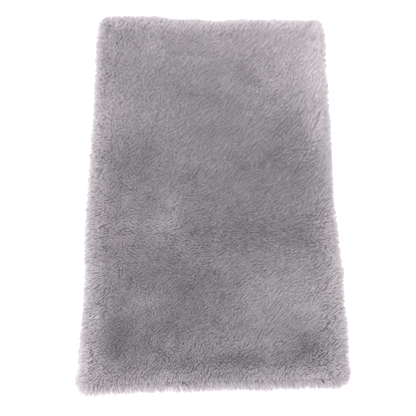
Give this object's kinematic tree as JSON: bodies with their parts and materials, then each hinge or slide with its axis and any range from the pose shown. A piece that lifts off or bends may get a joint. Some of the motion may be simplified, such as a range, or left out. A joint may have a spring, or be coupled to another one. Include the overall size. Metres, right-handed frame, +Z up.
{
  "type": "sheepskin rug",
  "caption": "Rectangular sheepskin rug with rounded corners, dense sheared wool up and a flat tanned hide below, for a floor, bench or bedside.",
  "frame": {"origin": "on the floor, under the middle of the rug's outline box", "axes": "+Z up out of the wool, +Y along the rug's length towards its far end, +X across it"},
  "size_m": [0.6224, 1.0262, 0.0383],
  "materials": {
    "hide": "tanned flesh side, matte suede",
    "wool": "dense sheared grey wool, matte with a soft sheen"
  },
  "bodies": {
    "root": {"hide": "hide", "wool": "wool"}
  },
  "joints": []
}
